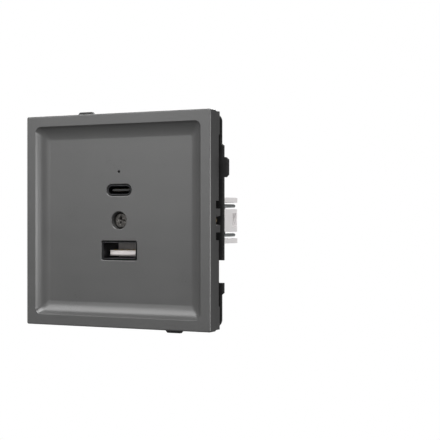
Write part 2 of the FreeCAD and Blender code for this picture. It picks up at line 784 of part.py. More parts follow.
def claw():
    """Pressed claw: two flared teeth, a half barrel round the screw and a flange behind it."""
    barrel = arc_shell(barrel_r, barrel_wall, barrel_front, flange_front + 0.1, 90)
    inner = barrel_r - barrel_wall
    flare = Part.Face(polygon([(inner, barrel_front + 0.4, 0), (tooth_r - barrel_wall, tooth_front, 0),
                               (tooth_r, tooth_front, 0), (barrel_r, barrel_front + 0.4, 0)]))
    flare.rotate(Vector(0, 0, 0), Vector(0, 1, 0), -tooth_half_angle)
    teeth = flare.revolve(Vector(0, 0, 0), Vector(0, 1, 0), 2 * tooth_half_angle)
    notch = prism([(0, tooth_front - 1, -tooth_notch_half - 0.5), (0, barrel_front + 0.2, -tooth_notch_half),
                   (0, barrel_front + 0.2, tooth_notch_half), (0, tooth_front - 1, tooth_notch_half + 0.5)],
                  (tooth_r + 1, 0, 0))
    corner = prism([(0, tooth_front - 0.5, tooth_r), (0, tooth_front - 0.5, tooth_r * 0.45),
                    (0, barrel_front, tooth_r)], (tooth_r + 1, 0, 0))
    teeth = teeth.cut(notch).cut(Part.makeCompound(both_ends(corner)))
    flange = box(flange_step, flange_out, flange_front, flange_back, -flange_half, flange_half)
    flange = flange.makeFillet(0.8, [e for e in edges_along(flange, 1) if e.CenterOfMass.x > flange_step + 0.1])
    flange = flange.fuse(box(-flange_in, flange_step, flange_front, flange_back, -flange_neck, flange_neck))
    tilt = math.radians(claw_tilt)
    slot_end = claw_screw_r / math.cos(tilt) + flange_t / 2 * math.tan(tilt) + slide_gap
    room = claw_screw_r + fit_gap
    slot = box(-flange_in - 1, slot_end, flange_front - 0.5, flange_back + 1, -room, room)
    body = barrel.multiFuse([teeth, flange]).cut(slot)
    body.translate(Vector(claw_screw_x, 0, 0))
    return body.removeSplitter()


def wire_through(points, r):
    """Round wire along straight runs with mitred corners."""
    path = [Vector(*p) for p in points]
    heading = (path[1] - path[0]).normalize()
    section = Part.Wire(Part.makeCircle(r, path[0], heading))
    right_corner = 1
    return Part.makePolygon(path).makePipeShell([section], True, False, right_corner)


def claw_spring():
    """One bent wire: hooks before the flange, legs beside the block, a bar behind it."""
    side = [(wire_x, wire_hook_y, wire_hook_z), (wire_x, wire_hook_y, wire_z), (wire_x, wire_bar_y, wire_z),
            (wire_bar_x, wire_bar_y, wire_z)]
    other = [(x, y, -z) for x, y, z in reversed(side)]
    return wire_through(side + other, wire_r)


def bay_plate():
    """Galvanised plate on the floor of the claw bay, round at its front corners."""
    half_width = rail_in - fit_gap
    front = rail_start + 0.2
    plate = box(case_half_x + case_draft, case_half_x + case_draft + bay_plate_t, front, bay_plate_end,
                -half_width, half_width)
    corners = [e for e in edges_along(plate, 0) if e.CenterOfMass.y < front + 0.1]
    plate = plate.makeFillet(bay_plate_corner, corners)
    middle = box(0, bay_reach, block_start - fit_gap, bay_plate_end + 1, -block_half - fit_gap, block_half + fit_gap)
    return plate.cut(middle)


# Receptacles

def receptacle_shell(size, r, z):
    outer = rounded_bar(*size, r, shell_front, port_board_front, z=z)
    inner_r = max(r - shell_t, 0.15)
    inner = rounded_bar(size[0] - 2 * shell_t, size[1] - 2 * shell_t, inner_r, shell_front - 1,
                        port_board_front - shell_t, z=z)
    return outer.cut(inner)


def receptacle_tongue(size, shell_size, r, front, z, tongue_z):
    tongue = block_y(*size, front, port_board_front - shell_t, z=tongue_z)
    tongue = tongue.makeChamfer(size[1] * 0.25, edges_in_plane(tongue, 1, front))
    inset = 2 * shell_t + 2 * seat_gap
    base_r = max(r - shell_t - seat_gap, 0.15)
    base_start = port_board_front - shell_t - seat_gap - socket_base
    base = rounded_bar(shell_size[0] - inset, shell_size[1] - inset, base_r, base_start,
                       port_board_front - shell_t, z=z)
    return tongue.fuse(base).removeSplitter()


def usb_a_shell():
    return receptacle_shell(usb_a_shell_size, 0.5, usb_a_z)


def usb_a_tongue():
    return receptacle_tongue(usb_a_tongue_size, usb_a_shell_size, 0.5, usb_a_tongue_front, usb_a_z,
                             usb_a_z - usb_a_tongue_drop)


def usb_a_contacts():
    """Four contact strips on the upper face of the tongue."""
    width, height, length = usb_a_pad
    top = usb_a_z - usb_a_tongue_drop + usb_a_tongue_size[1] / 2
    start = usb_a_tongue_front + 0.8
    return Part.makeCompound([box(x - width / 2, x + width / 2, start, start + length, top, top + height)
                              for x in [usb_a_pad_pitch * (i - 1.5) for i in range(4)]])


def usb_c_shell():
    return receptacle_shell(usb_c_shell_size, usb_c_shell_size[1] / 2, usb_c_z)


def usb_c_tongue():
    return receptacle_tongue(usb_c_tongue_size, usb_c_shell_size, usb_c_shell_size[1] / 2, usb_c_tongue_front,
                             usb_c_z, usb_c_z)


def usb_c_contacts():
    """Twelve contact strips on each face of the tongue."""
    width, height, length = usb_c_pad
    start = usb_c_tongue_front + 0.5
    top = usb_c_tongue_size[1] / 2
    strips = []
    for i in range(12):
        x = usb_c_pad_pitch * (i - 5.5)
        strips.append(box(x - width / 2, x + width / 2, start, start + length, usb_c_z + top, usb_c_z + top + height))
        strips.append(box(x - width / 2, x + width / 2, start, start + length, usb_c_z - top - height, usb_c_z - top))
    return Part.makeCompound(strips)


def light_pipe():
    """Thin clear rod from the pinhole back to the lamp on the port board."""
    lamp_front = port_board_front - led_size[1]
    pipe = rod_y(pipe_r, dish_floor + 0.2, lamp_front - seat_gap, z=pinhole_z)
    base = block_y(pipe_base, pipe_base, lamp_front - seat_gap - pipe_base_l, lamp_front - seat_gap, z=pinhole_z)
    return pipe.fuse(base).removeSplitter()


def status_led():
    width, depth, height = led_size
    return block_y(width, height, port_board_front - depth, port_board_front, z=pinhole_z)


# Boards

def port_board():
    """Eight-sided board whose corners reach out to the bowl's wall."""
    reach = bowl_knee_r - bowl_wall - port_board_gap
    wide, high = [share * reach for share in port_board_reach]
    shoulder = math.sqrt(reach * reach - wide * wide)
    crown = math.sqrt(reach * reach - high * high)
    quarter = [(wide, shoulder), (crown, high)]
    corners = quarter + [(-x, z) for x, z in reversed(quarter)]
    corners += [(-x, -z) for x, z in quarter] + [(x, -z) for x, z in reversed(quarter)]
    board = prism([(x, port_board_front, z) for x, z in corners], (0, board_t, 0))
    return board.cut(rod_y(bowl_boss_r + slide_gap, 0, port_board_back + 1))


def link_block(grow, y0, y1):
    width = link_pitch * link_pins + 2 * grow
    return box(link_x - link_pitch / 2 - grow, link_x + link_pitch / 2 + grow, y0, y1, -width / 2, width / 2)


def board_link():
    """Pin header between the two boards."""
    body = link_block(0, port_board_back, port_board_back + link_body)
    pins = [block_y(link_pin, link_pin, port_board_back + link_body - 0.5, power_board_front, link_x,
                    link_pitch * (i - (link_pins - 1) / 2)) for i in range(link_pins)]
    return body.multiFuse(pins)


def power_board():
    board = block_y(2 * (case_in_x - fit_gap), 2 * (case_in_z - fit_gap), power_board_front, power_board_back)
    return board.makeChamfer(board_corner_cut, edges_along(board, 1))


def transformer_core():
    """Ferrite frame: two outer legs, open round the coil."""
    width, depth, height = core_size
    x, z = core_place
    coil_width, coil_depth, coil_height = coil_size
    core = block_y(width, height, power_board_back, power_board_back + depth, x, z)
    window = block_y(coil_width + 1, coil_height + 0.6, power_board_back - 1, power_board_back + depth + 1, x, z)
    return core.cut(window)


def transformer_coil():
    width, depth, height = coil_size
    x, z = core_place
    coil = block_y(width, height, power_board_back, power_board_back + depth, x, z)
    coil = coil.makeFillet(coil_r, edges_along(coil, 1))
    rim, rim_t = coil_flange
    flange = block_y(width + 2 * rim, height + 2 * rim, power_board_back, power_board_back + rim_t, x, z)
    return coil.fuse(flange).removeSplitter()


def can_on_board(size, x, z):
    r, length = size
    return rod_y(r, power_board_back, power_board_back + length, x, z)


def input_capacitor():
    return can_on_board(input_can, input_can_x, case_in_z - input_can_below_top)


def output_capacitor(place):
    """One of the two output cans, counted upwards from the lower one."""
    return can_on_board(output_can, case_in_x - output_can_from_side,
                        output_can_above_base + place * output_can_pitch - case_in_z)


def bridge_rectifier():
    width, depth, height = rectifier_size
    body = block_y(width, height, power_board_back, power_board_back + depth, rectifier_x,
                   case_in_z - rectifier_below_top)
    return body.makeChamfer(rectifier_bevel, edges_in_plane(body, 1, power_board_back + depth))


def fuse():
    return can_on_board((fuse_r, fuse_length), fuse_x, fuse_above_base - case_in_z)


# Terminals

def terminal_busbar():
    bar = box(terminal_x - busbar_width / 2, terminal_x + busbar_width / 2, power_board_back, busbar_end,
              busbar_under, busbar_z)
    return bar.makeChamfer(busbar_bevel, edges_in_plane(bar, 1, busbar_end))


def terminal_cage():
    """Open frame that climbs its screw and draws the wire against the busbar."""
    y0 = terminal_y - cage_length / 2
    y1 = terminal_y + cage_length / 2
    base_top = busbar_under - screw_room
    frame = box(terminal_x - cage_half, terminal_x + cage_half, y0, y1, base_top - cage_base, cage_top)
    window = box(terminal_x - cage_half + cage_wall, terminal_x + cage_half - cage_wall, y0 - 1, y1 + 1,
                 base_top, cage_top - cage_cap)
    frame = frame.makeChamfer(cage_edge, edges_along(frame, 1)).cut(window)
    hole = rod_z(terminal_screw_r + shaft_gap, base_top - cage_base - 1, base_top + 1, terminal_x, terminal_y)
    return frame.cut(hole)


def terminal_screw():
    tip = busbar_under - seat_gap
    head_low = seat_gap - case_in_z
    head_top = head_low + terminal_head_t
    shank = rod_z(terminal_screw_r, head_top, tip, terminal_x, terminal_y)
    head = rod_z(terminal_head_r, head_low, head_top, terminal_x, terminal_y)
    slot_width, slot_depth = terminal_slot
    slot = box(terminal_x - terminal_head_r - 1, terminal_x + terminal_head_r + 1, terminal_y - slot_width / 2,
               terminal_y + slot_width / 2, head_low - 1, head_low + slot_depth)
    return shank.fuse(head).cut(slot).removeSplitter()


def save_pair(shape, right_name, left_name):
    right, left = both_sides(shape)
    save(right_name, right)
    save(left_name, left)


def main():
    os.makedirs("parts", exist_ok=True)
    for make in (cover_plate, cover_screw, mounting_plate, inner_bowl, housing, rear_lid, usb_a_shell,
                 usb_a_tongue, usb_a_contacts, usb_c_shell, usb_c_tongue, usb_c_contacts, light_pipe,
                 status_led, port_board, board_link, power_board, transformer_core, transformer_coil,
                 bridge_rectifier, fuse, input_capacitor):
        save(make.__name__, make())
    save("output_capacitor_a", output_capacitor(1))
    save("output_capacitor_b", output_capacitor(0))
    for make in (claw, claw_screw, claw_spring, bay_plate):
        save_pair(make(), make.__name__ + "_right", make.__name__ + "_left")
    for make, kind in ((terminal_busbar, "busbar"), (terminal_cage, "clamp"), (terminal_screw, "clamp_screw")):
        save_pair(make(), "live_" + kind, "neutral_" + kind)


main()
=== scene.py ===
import math
import bmesh
import bpy
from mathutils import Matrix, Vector


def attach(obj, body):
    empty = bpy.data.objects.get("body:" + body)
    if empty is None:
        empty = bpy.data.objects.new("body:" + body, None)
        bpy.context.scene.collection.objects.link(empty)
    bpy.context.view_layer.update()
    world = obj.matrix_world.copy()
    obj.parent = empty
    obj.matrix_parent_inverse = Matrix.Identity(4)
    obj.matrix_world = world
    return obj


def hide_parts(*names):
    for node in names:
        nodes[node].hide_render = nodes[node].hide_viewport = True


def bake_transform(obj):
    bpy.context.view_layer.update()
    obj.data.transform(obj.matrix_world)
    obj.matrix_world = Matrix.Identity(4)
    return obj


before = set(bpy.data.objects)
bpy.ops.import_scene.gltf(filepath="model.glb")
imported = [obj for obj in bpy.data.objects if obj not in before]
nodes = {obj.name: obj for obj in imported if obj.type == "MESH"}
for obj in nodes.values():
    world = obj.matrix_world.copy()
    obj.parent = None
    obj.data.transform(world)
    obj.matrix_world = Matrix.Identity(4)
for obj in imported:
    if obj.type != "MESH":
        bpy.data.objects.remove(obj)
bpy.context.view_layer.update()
mm = 0.001


# Colours and materials

def tint(code):
    # an sRGB hex colour as linear RGBA
    parts = [int(code[i:i + 2], 16) / 255 for i in (0, 2, 4)]
    return [c / 12.92 if c <= 0.04045 else ((c + 0.055) / 1.055) ** 2.4 for c in parts] + [1.0]


class Wire:
    # a node's output that takes arithmetic; every operator adds one Math node
    def __init__(self, graph, socket):
        self.graph = graph
        self.socket = socket

    def maths(self, operation, *others, flipped=False):
        values = (*others, self) if flipped else (self, *others)
        return self.graph.node("ShaderNodeMath", {"operation": operation}, *values)

    def __add__(self, other):
        return self.maths("ADD", other)

    __radd__ = __add__

    def __sub__(self, other):
        return self.maths("SUBTRACT", other)

    def __rsub__(self, other):
        return self.maths("SUBTRACT", other, flipped=True)

    def __mul__(self, other):
        return self.maths("MULTIPLY", other)

    __rmul__ = __mul__

    def __truediv__(self, other):
        return self.maths("DIVIDE", other)

    def __rtruediv__(self, other):
        return self.maths("DIVIDE", other, flipped=True)

    def __gt__(self, other):
        return self.maths("GREATER_THAN", other)

    def __lt__(self, other):
        return self.maths("LESS_THAN", other)


class Graph:
    # a node tree with one way to add a node and feed it
    def __init__(self, tree):
        self.tree = tree

    def node(self, kind, settings=None, *values, inputs=None, out=0):
        made = self.tree.nodes.new(kind)
        for key, value in (settings or {}).items():
            if key == "stops":
                ramp = made.color_ramp
                while len(ramp.elements) < len(value):
                    ramp.elements.new(0.5)
                for stop, (at, colour) in zip(ramp.elements, value):
                    stop.position = at
                    stop.color = colour
            else:
                setattr(made, key, value)
        fed = {**dict(enumerate(values)), **(inputs or {})}
        for key, value in fed.items():
            if isinstance(value, Wire):
                self.tree.links.new(value.socket, made.inputs[key])
            else:
                made.inputs[key].default_value = value
        return Wire(self, made.outputs[out]) if len(made.outputs) else None


class Finish(Graph):
    # one material
    def __init__(self, name):
        self.material = bpy.data.materials.new(name)
        self.material.use_nodes = True
        super().__init__(self.material.node_tree)
        self.tree.nodes.clear()
        self.place = self.node("ShaderNodeTexCoord", out="Object")

    def noise(self, size, detail=2.0, roughness=0.5, place=None):
        # noise whose features are about size millimetres across
        return self.node("ShaderNodeTexNoise", {"noise_dimensions": "3D"},
                         inputs={"Vector": place or self.place, "Scale": 1.0 / (size * mm), "Detail": detail,
                                 "Roughness": roughness})

    def stretched(self, x, y, z):
        # object coordinates scaled along each axis, for streaks
        return self.node("ShaderNodeMapping", {"vector_type": "POINT"},
                         inputs={"Vector": self.place, "Scale": (x, y, z)})

    def mixed(self, share, a, b):
        return self.node("ShaderNodeMix", {"data_type": "RGBA"}, inputs={0: share, 6: a, 7: b}, out=2)

    def ramp(self, value, stops):
        return self.node("ShaderNodeValToRGB", {"stops": [(at, (v, v, v, 1.0)) for at, v in stops]}, value)

    def bump(self, height, depth, below=None):
        # depth is the height of the relief in millimetres
        inputs = {"Height": height, "Distance": depth * mm, "Strength": 1.0}
        if below is not None:
            inputs["Normal"] = below
        return self.node("ShaderNodeBump", None, inputs=inputs)

    def shade(self, **inputs):
        named = {key.replace("_", " "): value for key, value in inputs.items()}
        shader = self.node("ShaderNodeBsdfPrincipled", None, inputs=named)
        self.node("ShaderNodeOutputMaterial", None, inputs={"Surface": shader})
        return self.material


plasticLook = {"cloudSize": 14.0, "flowSize": 5.0, "flowDepth": 0.01, "speck": 0.12, "roughSpread": 0.12,
               "cloudSpread": 0.08, "specular": 0.5}
metalLook = {"stainSize": 3.0, "stainSpread": 0.1, "streakDepth": 0.006, "roughSpread": 0.2}


def mouldedPlastic(name, look):
    # matte moulded plastic: spark-eroded grain, faint flow marks, a little dust colour
    look = {**plasticLook, **look}
    f = Finish(name)
    base, dust = tint(look["colour"]), tint(look["dust"])
    broad = f.noise(look["cloudSize"], 3.0)
    fine = f.noise(look["grainSize"], 3.0, 0.6)
    flow = f.noise(look["flowSize"], 2.0, place=f.stretched(0.25, 1.0, 1.0))
    share = f.ramp(broad * 0.6 + flow * 0.4, [(0.35, 0.0), (0.72, look["dustShare"])])
    colour = f.mixed(share, base, dust)
    colour = f.mixed(f.ramp(fine, [(0.3, 0.0), (0.75, look["speck"])]), colour, dust)
    rough = look["roughness"] + (fine - 0.5) * look["roughSpread"] + (broad - 0.5) * look["cloudSpread"]
    grain = f.bump(fine, look["grainDepth"])
    relief = f.bump(flow, look["flowDepth"], grain)
    return f.shade(Base_Color=colour, Roughness=rough, Normal=relief, Specular_IOR_Level=look["specular"])


def drawnMetal(name, look):
    # bright or plated metal with fine streaks along one axis and faint stains
    look = {**metalLook, **look}
    f = Finish(name)
    streaks = f.noise(look["streakSize"], 3.0, 0.6, place=f.stretched(*look["streakScale"]))
    stain = f.noise(look["stainSize"], 3.0, 0.6)
    share = f.ramp(stain, [(0.38, 0.0), (0.7, look["stainShare"])])
    colour = f.mixed(share, tint(look["colour"]), tint(look["stain"]))
    rough = look["roughness"] + (streaks - 0.5) * look["roughSpread"] + (stain - 0.5) * look["stainSpread"]
    relief = f.bump(streaks, look["streakDepth"])
    return f.shade(Base_Color=colour, Metallic=1.0, Roughness=rough, Normal=relief)


def spangledZinc(name, look):
    # galvanised sheet: crystal patches that differ in shade and gloss
    f = Finish(name)
    crystal = f.node("ShaderNodeTexVoronoi", {"feature": "F1"},
                     inputs={"Vector": f.place, "Scale": 1.0 / (look["spangle"] * mm)}, out="Color")
    patch = f.node("ShaderNodeSeparateColor", None, crystal, out=0)
    haze = f.noise(look["hazeSize"], 3.0)
    colour = f.mixed(patch * 0.5 + haze * 0.4, tint(look["colour"]), tint(look["light"]))
    rough = look["roughness"] + (patch - 0.5) * look["roughSpread"]
    relief = f.bump(f.noise(look["grainSize"], 3.0), look["grainDepth"])
    return f.shade(Base_Color=colour, Metallic=look["metallic"], Roughness=rough, Normal=relief)


def satinPaint(name, look):
    # paint on steel sheet: orange peel, fine dust and slight rubbing
    f = Finish(name)
    peel = f.noise(look["peelSize"], 2.0)
    grit = f.noise(look["gritSize"], 3.0)
    rub = f.noise(look["rubSize"], 4.0, 0.6)
    share = f.ramp(rub, [(0.45, 0.0), (0.75, look["rubShare"])])
    colour = f.mixed(share, tint(look["colour"]), tint(look["rub"]))
    rough = look["roughness"] + (grit - 0.5) * look["roughSpread"]
    relief = f.bump(grit, look["gritDepth"], f.bump(peel, look["peelDepth"]))
    return f.shade(Base_Color=colour, Roughness=rough, Normal=relief)


def boardLacquer(name, look):
    # solder resist with darker tracks showing through in two directions
    f = Finish(name)
    x, z = [f.node("ShaderNodeSeparateXYZ", None, f.place, out=label) for label in ("X", "Z")]
    kinked = f.noise(look["kinkSize"], 1.0) * (look["kink"] * mm)
    lines = ((x + kinked) / (look["pitch"] * mm)).maths("SINE").maths("ABSOLUTE")
    ribs = ((z + kinked) / (look["ribPitch"] * mm)).maths("SINE").maths("ABSOLUTE")
    zone = f.noise(look["zoneSize"], 1.0) > 0.5
    track = f.ramp(lines * zone + ribs * (1.0 - zone), [(0.42, 0.0), (0.5, 1.0)])
    colour = f.mixed(track, tint(look["track"]), tint(look["colour"]))
    rough = look["roughness"] + f.noise(look["hazeSize"]) * look["roughSpread"]
    return f.shade(Base_Color=colour, Roughness=rough, Normal=f.bump(track, look["trackDepth"]),
                   Coat_Weight=look["coat"])


finishes = {
    "cover": mouldedPlastic("graphiteCover", {
        "colour": "3d3d3d", "dust": "4f4f4e", "dustShare": 0.2, "grainSize": 0.16, "grainDepth": 0.004,
        "flowDepth": 0.004, "roughSpread": 0.08, "roughness": 0.3, "specular": 0.55}),
    "bowl": mouldedPlastic("darkBowl", {
        "colour": "5e5b5a", "dust": "7c7875", "dustShare": 0.3, "grainSize": 0.2, "grainDepth": 0.008,
        "roughness": 0.4}),
    "case": mouldedPlastic("lightGreyCase", {
        "colour": "e6e3e3", "dust": "d1cecd", "dustShare": 0.3, "grainSize": 0.22, "grainDepth": 0.012,
        "roughness": 0.5, "speck": 0.1}),
    "lid": mouldedPlastic("lightGreyLid", {
        "colour": "d3d3cb", "dust": "bdbdb5", "dustShare": 0.3, "grainSize": 0.22, "grainDepth": 0.012,
        "roughness": 0.5, "speck": 0.1}),
    "whiteTongue": mouldedPlastic("whiteTongue", {
        "colour": "c0bbba", "dust": "aeaaa9", "dustShare": 0.25, "grainSize": 0.1, "grainDepth": 0.004,
        "roughness": 0.35}),
    "blackTongue": mouldedPlastic("blackTongue", {
        "colour": "1b1b1c", "dust": "3a3a3a", "dustShare": 0.2, "grainSize": 0.1, "grainDepth": 0.004,
        "roughness": 0.35}),
    "header": mouldedPlastic("blackHeader", {
        "colour": "161616", "dust": "2c2c2c", "dustShare": 0.2, "grainSize": 0.12, "grainDepth": 0.006,
        "roughness": 0.5}),
    "ferrite": mouldedPlastic("sinteredFerrite", {
        "colour": "3a3a3d", "dust": "55555a", "dustShare": 0.4, "grainSize": 0.15, "grainDepth": 0.02,
        "roughness": 0.7}),
    "tape": mouldedPlastic("yellowTape", {
        "colour": "d6b93c", "dust": "b9992a", "dustShare": 0.4, "grainSize": 0.4, "grainDepth": 0.006,
        "roughness": 0.3}),
    "rectifier": mouldedPlastic("blackEpoxy", {
        "colour": "1d1d1e", "dust": "333333", "dustShare": 0.3, "grainSize": 0.1, "grainDepth": 0.006,
        "roughness": 0.55}),
    "fuse": mouldedPlastic("brownFuse", {
        "colour": "5b3020", "dust": "74452f", "dustShare": 0.3, "grainSize": 0.2, "grainDepth": 0.004,
        "roughness": 0.3}),
    # painted shade: the clear light pipe is coloured near black, so the pinhole it sits in reads as a dark
    # hole
    "clearRod": mouldedPlastic("clearRod", {
        "colour": "040404", "dust": "08090a", "dustShare": 0.2, "grainSize": 0.2, "grainDepth": 0.002,
        "roughness": 0.6, "specular": 0.1}),
    "lamp": mouldedPlastic("lampPhosphor", {
        "colour": "e2dba0", "dust": "cfc57a", "dustShare": 0.3, "grainSize": 0.1, "grainDepth": 0.004,
        "roughness": 0.3}),
    "plate": satinPaint("darkPlate", {
        "colour": "151515", "rub": "2f2f2e", "rubShare": 0.35, "rubSize": 7.0, "peelSize": 0.6,
        "peelDepth": 0.01, "gritSize": 0.12, "gritDepth": 0.004, "roughness": 0.5, "roughSpread": 0.15}),
    "screw": drawnMetal("darkScrew", {
        "colour": "5c5a58", "stain": "1d1c1b", "stainShare": 0.9, "stainSize": 0.5, "streakSize": 0.35,
        "streakScale": (1.0, 1.0, 1.0), "roughness": 0.36, "streakDepth": 0.03}),
    # painted shade: the port shells' steel is coloured dark for the shade deep inside the ports
    "shell": drawnMetal("drawnShell", {
        "colour": "414143", "stain": "2a2a2c", "stainShare": 0.6, "streakSize": 0.2,
        "streakScale": (1.0, 0.12, 1.0), "roughness": 0.4}),
    "gold": drawnMetal("goldContact", {
        "colour": "a88a48", "stain": "7c6230", "stainShare": 0.5, "streakSize": 0.2,
        "streakScale": (1.0, 0.2, 1.0), "roughness": 0.25}),
    # painted shade: a dim grey copy of the gold, for the USB-C contacts that sit in shade deep in their port
    "goldPaintedShade": drawnMetal("duskyContact", {
        "colour": "6c655a", "stain": "3d3833", "stainShare": 0.5, "streakSize": 0.2,
        "streakScale": (1.0, 0.2, 1.0), "roughness": 0.35}),
    "brass": drawnMetal("terminalBrass", {
        "colour": "cfae62", "stain": "8f7438", "stainShare": 0.5, "streakSize": 0.3,
        "streakScale": (1.0, 0.3, 1.0), "roughness": 0.32}),
    "claw": drawnMetal("yellowPassivated", {
        "colour": "93876f", "stain": "3c2d27", "stainShare": 0.85, "stainSize": 2.2, "streakSize": 0.35,
        "streakScale": (1.0, 0.25, 1.0), "roughness": 0.34}),
    "wire": drawnMetal("springWire", {
        "colour": "cdd1d1", "stain": "959898", "stainShare": 0.5, "streakSize": 0.25,
        "streakScale": (1.0, 0.15, 1.0), "roughness": 0.42}),
    "can": drawnMetal("canAluminium", {
        "colour": "c2c4c6", "stain": "9a9c9e", "stainShare": 0.4, "streakSize": 0.3,
        "streakScale": (1.0, 0.2, 1.0), "roughness": 0.4}),
    "zinc": spangledZinc("galvanisedSheet", {
        "colour": "454c47", "light": "6c756e", "spangle": 1.1, "hazeSize": 4.0, "grainSize": 0.25,
        "grainDepth": 0.006, "metallic": 0.85, "roughness": 0.45, "roughSpread": 0.18}),
    "board": boardLacquer("greenBoard", {
        "colour": "1d5a34", "track": "103b20", "pitch": 0.32, "ribPitch": 0.544, "kink": 4.0, "kinkSize": 6.0,
        "zoneSize": 9.0, "trackDepth": 0.02, "hazeSize": 0.5, "roughness": 0.35, "roughSpread": 0.1,
        "coat": 0.3}),
}
print("finishes made:", len(finishes))


# Shapes

flatAngle = math.radians(0.6)  # neighbours that turn by less are one flat face
sharpAngle = math.radians(28)  # edges that turn by more are eased


def mergedMesh(name, node):
    # a copy of a CAD node with its corners joined and its flat faces whole
    mesh = nodes[node].data.copy()
    mesh.name = name
    form = bmesh.new()
    form.from_mesh(mesh)
    bmesh.ops.remove_doubles(form, verts=form.verts, dist=0.0008 * mm)
    bmesh.ops.dissolve_limit(form, angle_limit=flatAngle, verts=form.verts, edges=form.edges)
    form.to_mesh(mesh)
    form.free()
    return mesh


def finished(obj, kind=None, **settings):
    # add a modifier, if one is named, and keep the evaluated mesh as plain mesh
    if kind:
        made = obj.modifiers.new(kind.title(), kind)
        for key, value in settings.items():
            setattr(made, key, value)
    bpy.context.view_layer.update()
    graph = bpy.context.evaluated_depsgraph_get()
    mesh = bpy.data.meshes.new_from_object(obj.evaluated_get(graph))
    obj.modifiers.clear()
    obj.data = mesh
    return obj


def newObject(name, data):
    obj = bpy.data.objects.new(name, data)
    bpy.context.scene.collection.objects.link(obj)
    return obj


class Growth(Graph):
    # a Geometry Nodes tree with named sizes
    def __init__(self, name, sizes):
        super().__init__(bpy.data.node_groups.new(name, "GeometryNodeTree"))
        face = self.tree.interface
        face.new_socket("Geometry", in_out="INPUT", socket_type="NodeSocketGeometry")
        face.new_socket("Geometry", in_out="OUTPUT", socket_type="NodeSocketGeometry")
        self.sizes = {}
        for label, value in sizes.items():
            kind = "NodeSocketInt" if isinstance(value, int) else "NodeSocketFloat"
            self.sizes[face.new_socket(label, in_out="INPUT", socket_type=kind).identifier] = value
        self.entry = self.tree.nodes.new("NodeGroupInput")

    def given(self, label):
        return Wire(self, self.entry.outputs[label])

    def joined(self, *parts):
        whole = self.node("GeometryNodeJoinGeometry")
        for part in parts:
            self.tree.links.new(part.socket, whole.socket.node.inputs[0])
        return whole

    def swept(self, path, profile):
        return self.node("GeometryNodeCurveToMesh", None,
                         inputs={"Curve": path, "Profile Curve": profile, "Fill Caps": True})

    def grown(self, obj, body, finish):
        # close the tree, run it on the object and keep the result as plain mesh
        whole = self.node("GeometryNodeRealizeInstances", None, body)
        dressed = self.node("GeometryNodeSetMaterial", None, whole, inputs={"Material": finishes[finish]})
        leaving = self.tree.nodes.new("NodeGroupOutput")
        self.tree.links.new(dressed.socket, leaving.inputs[0])
        growth = obj.modifiers.new("Growth", "NODES")
        growth.node_group = self.tree
        for identifier, value in self.sizes.items():
            growth[identifier] = value
        return finished(obj)


def wear(obj, finish):
    obj.data.materials.clear()
    obj.data.materials.append(finishes[finish])
    return obj


def shaded(obj, degrees=32):
    # smooth shading that stops at sharp edges and keeps flat faces flat
    obj.data.shade_smooth()
    obj.data.set_sharp_from_angle(angle=math.radians(degrees))
    return finished(obj, "WEIGHTED_NORMAL", weight=50, keep_sharp=True)


def fitted(obj, node, body=None):
    # tie a finished piece to its body and hide the CAD node it stands for
    if body:
        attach(obj, body)
    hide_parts(node)
    return obj


plainEasing = {"steps": 2, "slide": True}


def wholeShare(edge):
    return 1.0


def weighEdges(mesh, share):
    # give each sharp edge its share of the easing
    form = bmesh.new()
    form.from_mesh(mesh)
    weight = form.edges.layers.float.new("bevel_weight_edge")
    for edge in form.edges:
        if len(edge.link_faces) == 2 and edge.calc_face_angle() > sharpAngle:
            edge[weight] = share(edge)
    form.to_mesh(mesh)
    form.free()
    return mesh


def eased(piece, mesh, share=wholeShare):
    # a piece of the socket's body from its mesh, with its edges rounded
    p = {**plainEasing, **piece}
    obj = newObject(p["name"], weighEdges(mesh, share))
    finished(obj, "BEVEL", width=p["edge"] * mm, segments=p["steps"], loop_slide=p["slide"],
             limit_method="WEIGHT", use_clamp_overlap=False)
    made = fitted(wear(shaded(obj), p["finish"]), p["node"], "socket")
    print(made.name, len(made.data.polygons), "faces")


def meshOf(name, points, faces):
    # a mesh from points in millimetres, with doubles merged and its faces turned outwards
    form = bmesh.new()
    corners = [form.verts.new((x * mm, y * mm, z * mm)) for x, y, z in points]
    for face in faces:
        form.faces.new([corners[i] for i in face])
    bmesh.ops.remove_doubles(form, verts=form.verts, dist=0.0005 * mm)
    bmesh.ops.recalc_face_normals(form, faces=form.faces)
    mesh = bpy.data.meshes.new(name)
    form.to_mesh(mesh)
    form.free()
    return mesh


def latheMesh(name, profile, x, around):
    # (radius, y) points turned about an axis along y; a radius of 0 closes an end in one point
    points, faces, rings = [], [], []
    for r, y in profile:
        count = around if r else 1
        rings.append([len(points) + k for k in range(count)])
        for k in range(count):
            turn = 2 * math.pi * k / around
            points.append((x + r * math.cos(turn), y, r * math.sin(turn)))
    for upper, lower in zip(rings, rings[1:]):
        for k in range(around):
            a, b = [(ring[k % len(ring)], ring[(k + 1) % len(ring)]) for ring in (upper, lower)]
            faces.append(list(dict.fromkeys((*a, *reversed(b)))))
    return meshOf(name, points, faces)


# Cover: the solid's copy with a smoother dish, whose slopes are part of an ellipse and whose corners round

# portsBelow is the height that all openings but the pinhole keep under, and tier is the ledge behind the rim
cover = {"name": "coverShell", "node": "cover_plate", "slot": "cover_plastic", "finish": "cover",
         "edge": 0.3, "steps": 3, "slide": False, "plainShare": 0.4, "fineShare": 0.14, "tier": -6.25,
         "portsBelow": 14.0, "front": -10.1, "depth": 2.5, "rim": 32.0, "slope": 4.8, "margin": 0.2,
         "rimR": 0.16, "rimSteps": 3, "lipTilt": 59.0, "arcFrom": 21.9, "arcTo": 84.0, "arcSteps": 14,
         "cornerR": 2.1, "footR": 0.7, "cornerSteps": 8}


